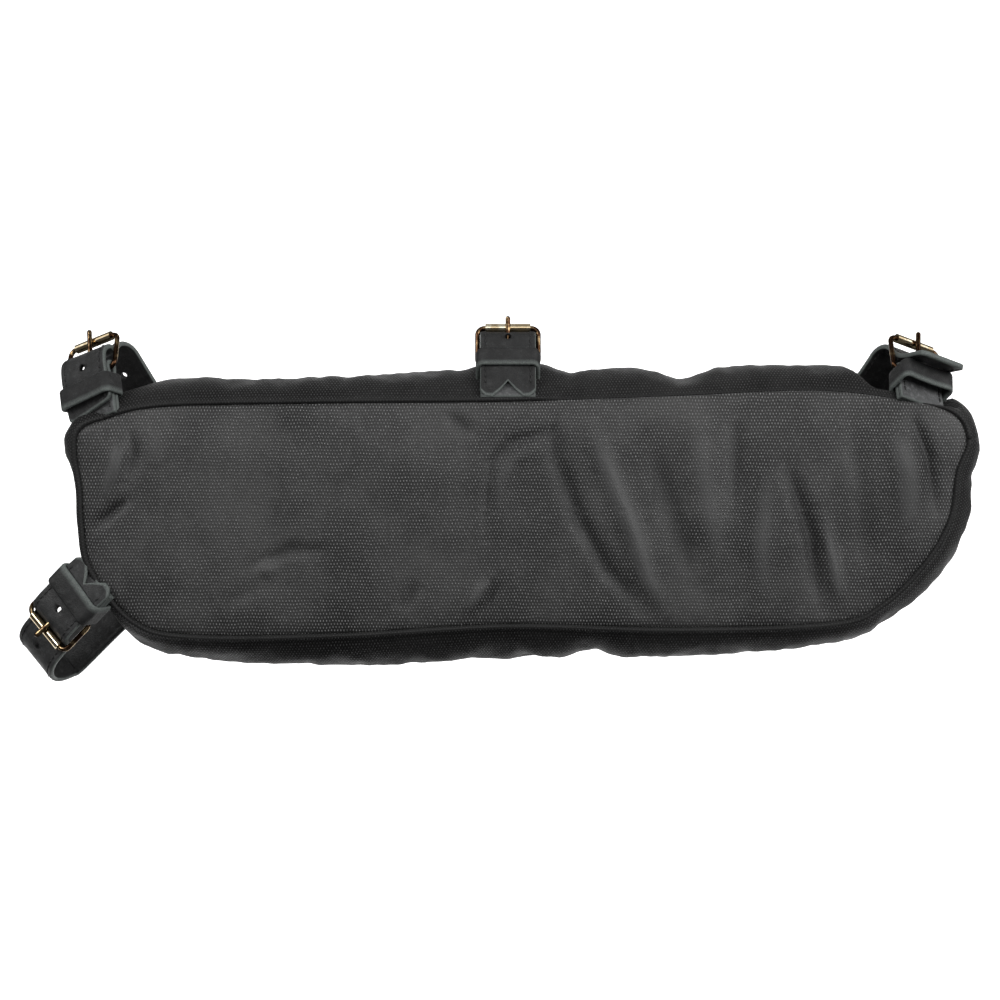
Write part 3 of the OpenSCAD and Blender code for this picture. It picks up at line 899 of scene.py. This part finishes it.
class Path:
    """A smooth line of (w, n) points that can be read at any run along it."""

    def __init__(self, points, steps=10):
        points = np.asarray(points, dtype=float)
        ends = np.concatenate([[2 * points[0] - points[1]], points,
                               [2 * points[-1] - points[-2]]])
        line = []
        for a, b, c, d in zip(ends, ends[1:], ends[2:], ends[3:]):
            for t in np.arange(steps) / steps:
                line.append(0.5 * (2 * b + (c - a) * t + (2 * a - 5 * b + 4 * c - d) * t ** 2
                                   + (3 * b - a - 3 * c + d) * t ** 3))
        line.append(points[-1])
        self.line = np.array(line)
        hops = np.linalg.norm(np.diff(self.line, axis=0), axis=1)
        self.run = np.concatenate([[0.0], np.cumsum(hops)])
        self.length = self.run[-1]
        heading = np.gradient(self.line, axis=0)
        heading /= np.linalg.norm(heading, axis=1)[:, None]
        self.normal = np.stack([-heading[:, 1], heading[:, 0]], axis=1)

    def at(self, run):
        """Point and unit normal at a run along the path; before its start it goes straight on."""
        point = np.array([np.interp(run, self.run, self.line[:, k]) for k in range(2)])
        normal = np.array([np.interp(run, self.run, self.normal[:, k]) for k in range(2)])
        normal /= np.linalg.norm(normal)
        if run < 0:
            point = point + run * (self.line[1] - self.line[0]) / self.run[1]
        return point, normal


# The leather's section across its width: how far along the half width, and how thick there
SECTION = [(-1.0, 0.5), (-0.985, 0.82), (-0.955, 1.0), (-0.9, 1.02), (-0.83, 1.0), (-0.8, 0.93),
           (-0.77, 1.0), (-0.55, 1.0), (-0.28, 1.0), (0.0, 1.0), (0.28, 1.0), (0.55, 1.0),
           (0.77, 1.0), (0.8, 0.93), (0.83, 1.0), (0.9, 1.02), (0.955, 1.0), (0.985, 0.82),
           (1.0, 0.5)]


def no_cut(share):
    return 0.0


def swallow_tail(share):
    """Two round lobes with a notch between them, as the run at which the leather starts."""
    notch = 9.6 * max(0.0, 1 - abs(share) / 0.6) ** 1.25
    corner = 4.6 * max(0.0, (abs(share) - 0.6) / 0.4) ** 2
    return notch + corner


def slant_tail(share):
    """A tail cut on a slant, longest at the share -1 side."""
    return 3.4 * (share + 1) + 3.0 * max(0.0, (abs(share) - 0.75) / 0.25) ** 2


def blunt_tail(share):
    return 2.4 * max(0.0, (abs(share) - 0.75) / 0.25) ** 2


def ribbon(name, buckle, path, cut=no_cut, width=STRAP_W, thickness=LEATHER_T):
    """A leather strap along a path, with rounded cut edges. Its side with +n normals is out."""
    rings = max(12, int(path.length / 1.3))
    runs = path.length * (np.arange(rings + 1) / rings)
    half = width / 2
    count = len(SECTION)
    points, uvs, wear = [], [], []
    for run in runs:
        for face in (1, -1):
            order = SECTION if face > 0 else SECTION[::-1]
            for share, thick in order:
                fade = max(0.0, 1 - run / 16.0)
                spot = run + cut(share) * fade
                (w, n), normal = path.at(spot)
                off = face * thick * thickness / 2
                u = share * half
                points.append(buckle.space(u, w + off * normal[0], n + off * normal[1]))
                uvs.append((u, spot))
                near_edge = 1.0 if abs(share) > 0.97 else 0.0
                near_end = 1.0 if run in (runs[0], runs[1], runs[-1]) else 0.0
                wear.append(max(near_edge, near_end))
    around = 2 * count
    quads = grid_quads(len(runs), around, close_cols=True)
    # The ends are closed by strips between the two faces
    for ring in (0, rings):
        base = ring * around
        for k in range(count - 1):
            quads.append((base + k, base + k + 1, base + around - 2 - k, base + around - 1 - k))
    obj = mesh_object(name, points, quads, uvs, wear)
    outward_faces(obj)
    return obj


def punch(obj, buckle, path, runs, radius=1.9):
    """Cuts round holes through a strap at these runs along its path."""
    for run in runs:
        (w, n), normal = path.at(run)
        centre = buckle.space(0, w, n)
        direction = normal[0] * buckle.w + normal[1] * buckle.n
        bpy.ops.mesh.primitive_cylinder_add(vertices=24, radius=radius * MM, depth=9 * MM)
        cutter = bpy.context.object
        turn = Vector(direction).to_track_quat("Z", "Y").to_matrix().to_4x4()
        cutter.matrix_world = Matrix.Translation(Vector(centre) * MM) @ turn
        cut_away(obj, cutter)


def cut_away(obj, cutter):
    bpy.context.view_layer.update()
    boolean = obj.modifiers.new("cut", "BOOLEAN")
    boolean.operation = "DIFFERENCE"
    boolean.solver = "EXACT"
    boolean.use_self = True
    boolean.object = cutter
    apply_modifiers(obj)
    bpy.data.objects.remove(cutter)


def stitches(name, buckle, path, start, stop, faces=(1,)):
    """Two rows of thread, each stitch a short bent tube that dips in at both ends."""
    points, quads = [], []
    half = STRAP_W / 2 - STITCH_INSET
    for face in faces:
        for u in (-half, half):
            run = start
            while run + STITCH_PITCH < stop:
                spots = []
                for t in np.linspace(0.06, 0.86, 6):
                    (w, n), normal = path.at(run + t * STITCH_PITCH)
                    rise = LEATHER_T / 2 - 0.35 + 0.5 * math.sin(math.pi * (t - 0.06) / 0.8)
                    off = face * rise
                    spots.append(buckle.space(u, w + off * normal[0], n + off * normal[1]))
                tube, tube_quads = tube_along(spots, 0.42, 6)
                base = len(points)
                points.extend(tube)
                quads.extend(tuple(base + i for i in q) for q in tube_quads)
                run += STITCH_PITCH
    thread = mesh_object(name, points, quads)
    outward_faces(thread)
    finish_piece(thread, "thread", "leather")


def arc(centre, radius, start, stop, count):
    """Points [w, n] on a circle; angles run from +n over +w, in degrees."""
    angles = np.radians(np.linspace(start, stop, count))
    return [centre + radius * np.array([math.sin(a), math.cos(a)]) for a in angles]


# Radius of each loop, on the leather's inner face
WRAP_R = {"top_left": 11.0, "top_middle": 12.7, "top_right": 11.0, "lower_left": 15.9}
# Where a long strap lies flat on its buckle, along n
FLAT_N = 5.8


def make_long_strap(buckle, tail, wrap_from, wrap_to, sewn, cut, holes, material="leather"):
    """The strap that goes round a tube: tail and sewn are the (w, n) points of its two ends, the
    loop lies between the angles wrap_from and wrap_to, and holes are runs from the tail."""
    name = buckle.name
    centre = buckle.loop
    radius = WRAP_R[name] + LEATHER_T / 2
    points = [np.array(p, dtype=float) for p in tail]
    points += arc(centre, radius, wrap_from, wrap_to, 9)
    points += [np.array(p, dtype=float) for p in sewn]
    path = Path(points)
    strap = ribbon(name + "_long_leather", buckle, path, cut=cut)
    punch(strap, buckle, path, holes)
    finish_piece(strap, material, "leather", name + "_long_strap")
    return path


FOLD_RADIUS = 2.95
SHORT_T = 2.5
# The prong's slot in the fold: its width, length and depth, and where its middle lies along w
SLOT_SIZE = (4.8, 8.0, 14.0)
SLOT_AT = 1.1


def make_buckle_strap(buckle, length, rise=0.0):
    """The short strap: two layers folded round the heel bar, with a slot for the prong. Its sewn
    end stands rise further out."""
    radius = FOLD_RADIUS
    layer = 1.35
    half_rise = rise * 0.4
    back = [(-length, rise - layer), (-length * 0.6, half_rise - layer), (-6.5, -1.6), (-2.5, -2.45)]
    front = [(-2.5, 2.45), (-6.5, 1.6), (-length * 0.6, half_rise + layer), (-length, rise + layer)]
    fold = arc(np.zeros(2), radius, 165, 15, 7)
    path = Path([*back, *fold, *front])
    strap = ribbon(buckle.name + "_short_leather", buckle, path, thickness=SHORT_T,
                   width=STRAP_W - 0.6)
    bpy.ops.mesh.primitive_cube_add(size=1)
    slot = bpy.context.object
    axes = Matrix((buckle.u, buckle.w, buckle.n)).transposed().to_4x4()
    size = Matrix.Diagonal((*(side * MM for side in SLOT_SIZE), 1))
    centre = Vector(buckle.space(0, SLOT_AT, 0)) * MM
    slot.matrix_world = Matrix.Translation(centre) @ axes @ size
    cut_away(strap, slot)
    finish_piece(strap, "leather_back", "leather", buckle.name + "_buckle_strap")
    stitches(buckle.name + "_short_stitches", buckle, path, path.length / 2 + 9, path.length - 2,
             faces=(-1,))


KEEPER_T = 2.2
KEEPER_GAP = 1.3
KEEPER_CORNER = 3.6


def make_keeper(buckle, near, far, low_n, high_n, lean, twist=0.0, sag=0.0):
    """A leather loop round both straps. near and far are its edges along w at the back; its
    front is lean further on, and its two sides differ by twist."""
    half = STRAP_W / 2 + KEEPER_GAP
    corner = KEEPER_CORNER
    outline = []
    for cu, cn, start in ((half - corner, high_n - corner, 0), (-half + corner, high_n - corner, 90),
                          (-half + corner, low_n + corner, 180), (half - corner, low_n + corner, 270)):
        for angle in np.radians(np.linspace(start, start + 90, 7)):
            outline.append((cu + corner * math.cos(angle), cn + corner * math.sin(angle)))
    outline = np.array(outline)
    # More points along the straight stretches, so that they can sag
    dense = []
    for a, b in zip(outline, np.roll(outline, -1, axis=0)):
        pieces = max(1, int(np.linalg.norm(b - a) / 2.5))
        dense.extend(a + (b - a) * k / pieces for k in range(pieces))
    outline = np.array(dense)
    heading = np.roll(outline, -1, axis=0) - np.roll(outline, 1, axis=0)
    heading /= np.linalg.norm(heading, axis=1)[:, None]
    outward = np.stack([heading[:, 1], -heading[:, 0]], axis=1)
    section = [(0.0, 0.25), (0.03, 0.7), (0.09, 1.0), (0.3, 1.0), (0.5, 1.0), (0.7, 1.0),
               (0.91, 1.0), (0.97, 0.7), (1.0, 0.25)]
    ring = [(t, f * KEEPER_T / 2) for t, f in section]
    ring += [(t, -f * KEEPER_T / 2) for t, f in reversed(section)]
    points, uvs, wear = [], [], []
    for (u, n), (ou, on) in zip(outline, outward):
        share = np.clip((n - low_n) / (high_n - low_n), 0, 1)
        forward = lean * share + twist * u / half * share
        dip = sag * share * (1 - (u / half) ** 2)
        for t, off in ring:
            w = near + (far - near) * t + forward
            points.append(buckle.space(u + off * ou, w, n + off * on - dip))
            uvs.append((u + n, w))
            wear.append(1.0 if t < 0.1 or t > 0.98 else 0.0)
    quads = grid_quads(len(outline), len(ring), close_rows=True, close_cols=True)
    keeper = mesh_object(buckle.name + "_keeper_leather", points, quads, uvs, wear)
    outward_faces(keeper)
    # the keeper takes the darker copy of the leather: painted shade
    finish_piece(keeper, "leather_painted_shade", "leather", buckle.name + "_keeper")


def make_straps():
    middle = Buckle("top_middle")
    # The middle strap takes the darker copy of the leather: painted shade
    path = make_long_strap(
        middle,
        [(-20.3, 4.2), (-13, 5.0), (-6, FLAT_N), (3, FLAT_N), (11.5, FLAT_N), (15.4, 4.8),
         (17.6, 2.4), (17.9, -0.8)],
        31, 150, [(-8, -29), (-24, -40)], swallow_tail, (35.0,), "leather_painted_shade")
    stitches("top_middle_long_stitches", middle, path, 8, path.length - 20)
    make_buckle_strap(middle, 20, rise=3.0)
    make_keeper(middle, -11.5, -1.2, -5.3, 8.8, 9.0, sag=0.4)

    left = Buckle("top_left", 17.7)
    path = make_long_strap(
        left,
        [(-26, 2.6), (-17, 4.4), (-9, 5.4), (0, FLAT_N + 0.2), (8.4, 4.6), (12.4, -0.8)],
        27, 144, [(-7.2, -43.3)], slant_tail, (28.5, 79.0))
    stitches("top_left_long_stitches", left, path, 8, path.length - 10)
    make_buckle_strap(left, 27)
    make_keeper(left, -16.5, -4.5, -5.3, 9.0, -1.0, twist=1.0, sag=0.2)

    right = Buckle("top_right", 8.5)
    path = make_long_strap(
        right,
        [(1.5, 22.0), (3.6, 14.5), (5.2, 8.2), (7.2, 3.2), (9.9, -0.8)],
        28, 135, [(5.1, -41.2)], blunt_tail, (30.0,))
    stitches("top_right_long_stitches", right, path, 6, path.length - 10, faces=(1, -1))
    make_buckle_strap(right, 18.5, rise=2.0)
    make_keeper(right, -13.0, -1.8, -5.3, 10.5, 5.0, sag=1.2)

    lower = Buckle("lower_left")
    path = make_long_strap(
        lower,
        [(-23, 3.6), (-14, 5.0), (-6, FLAT_N), (3, FLAT_N), (10, FLAT_N), (14.6, 4.6), (17.4, 0.6),
         (18.6, -3.4)],
        0, 155, [(0, -40), (-16, -46)], swallow_tail, (30.0, 62.0))
    stitches("lower_left_long_stitches", lower, path, 8, path.length - 20)
    make_buckle_strap(lower, 19)
    make_keeper(lower, -14.5, -1.2, -5.3, 8.8, 3.0, twist=-1.0, sag=0.5)


# ---------------------------------------------------------------------------------------------
# Metal pieces, which keep their CAD shape
# ---------------------------------------------------------------------------------------------

def soften(obj, width):
    """Rounds a CAD piece's sharp edges by a bevel that follows the piece."""
    bevel = obj.modifiers.new("soft edges", "BEVEL")
    bevel.width = width * MM
    bevel.segments = 2
    bevel.limit_method = "ANGLE"
    bevel.angle_limit = math.radians(40)


def dress_metal():
    for name, obj in frame["nodes"].items():
        if name.endswith("_roller"):
            paint(obj, "roller")
        elif name.endswith(("_buckle_frame", "_prong")):
            paint(obj, "brass")
        elif name in ("zip_slider", "zip_pull", "zip_stops"):
            paint(obj, "brass")
            soften(obj, 0.3)


def paint(obj, material):
    obj.data.materials.clear()
    obj.data.materials.append(MATERIALS[material])
    for polygon in obj.data.polygons:
        polygon.material_index = 0


# ---------------------------------------------------------------------------------------------
# Floor and light
# ---------------------------------------------------------------------------------------------

def make_stage():
    """A plain white floor that curves up into a backdrop."""
    floor_z = -620.0
    profile = [(300, floor_z), (1400, floor_z)]
    for angle in np.radians(np.linspace(-90, 0, 13)[1:]):
        profile.append((1400 + 700 * math.cos(angle), floor_z + 700 + 700 * math.sin(angle)))
    profile.append((2100, 2600))
    points = [(x, y, z) for x in (-1500, 1500) for y, z in profile]
    stage = mesh_object("backdrop", points, grid_quads(2, len(profile)))
    n = Nodes("white_paper")
    fibre = n.noise(n.place(), 30.0)
    n.colour(n.mix(fibre, grey(0.9), grey(0.94)))
    n.set(Roughness=0.9)
    n.set(Emission_Color=(1, 1, 1, 1), Emission_Strength=1.0)
    stage.data.materials.append(n.material)


def area_light(name, place, target, size, power):
    data = bpy.data.lights.new(name, "AREA")
    data.shape = "RECTANGLE"
    data.size, data.size_y = size
    data.energy = power
    light = link(bpy.data.objects.new(name, data))
    light.location = place
    aim = Vector(target) - Vector(place)
    light.rotation_euler = aim.to_track_quat("-Z", "Y").to_euler()


def make_light():
    world = bpy.data.worlds.new("studio")
    world.use_nodes = True
    world.node_tree.nodes["Background"].inputs["Color"].default_value = (1, 1, 1, 1)
    world.node_tree.nodes["Background"].inputs["Strength"].default_value = 0.08
    bpy.context.scene.world = world
    target = (0, 0, -0.09)
    area_light("key", (-1.3, -1.1, 0.9), target, (0.8, 0.6), 13)
    area_light("fill", (1.4, -1.2, 0.5), target, (0.7, 1.0), 19)
    area_light("top", (0.1, -0.1, 1.6), target, (1.8, 0.7), 2)
    area_light("front", (0.2, -1.9, 0.9), target, (2.2, 1.1), 13)
    for side in (-1, 1):
        area_light("side", (side * 1.8, -0.3, 0.8), target, (0.8, 1.2), 4)
    bpy.context.scene.view_settings.view_transform = "Standard"


make_camera()
make_front_panel()
make_band()
make_back()
make_straps()
dress_metal()
make_stage()
make_light()
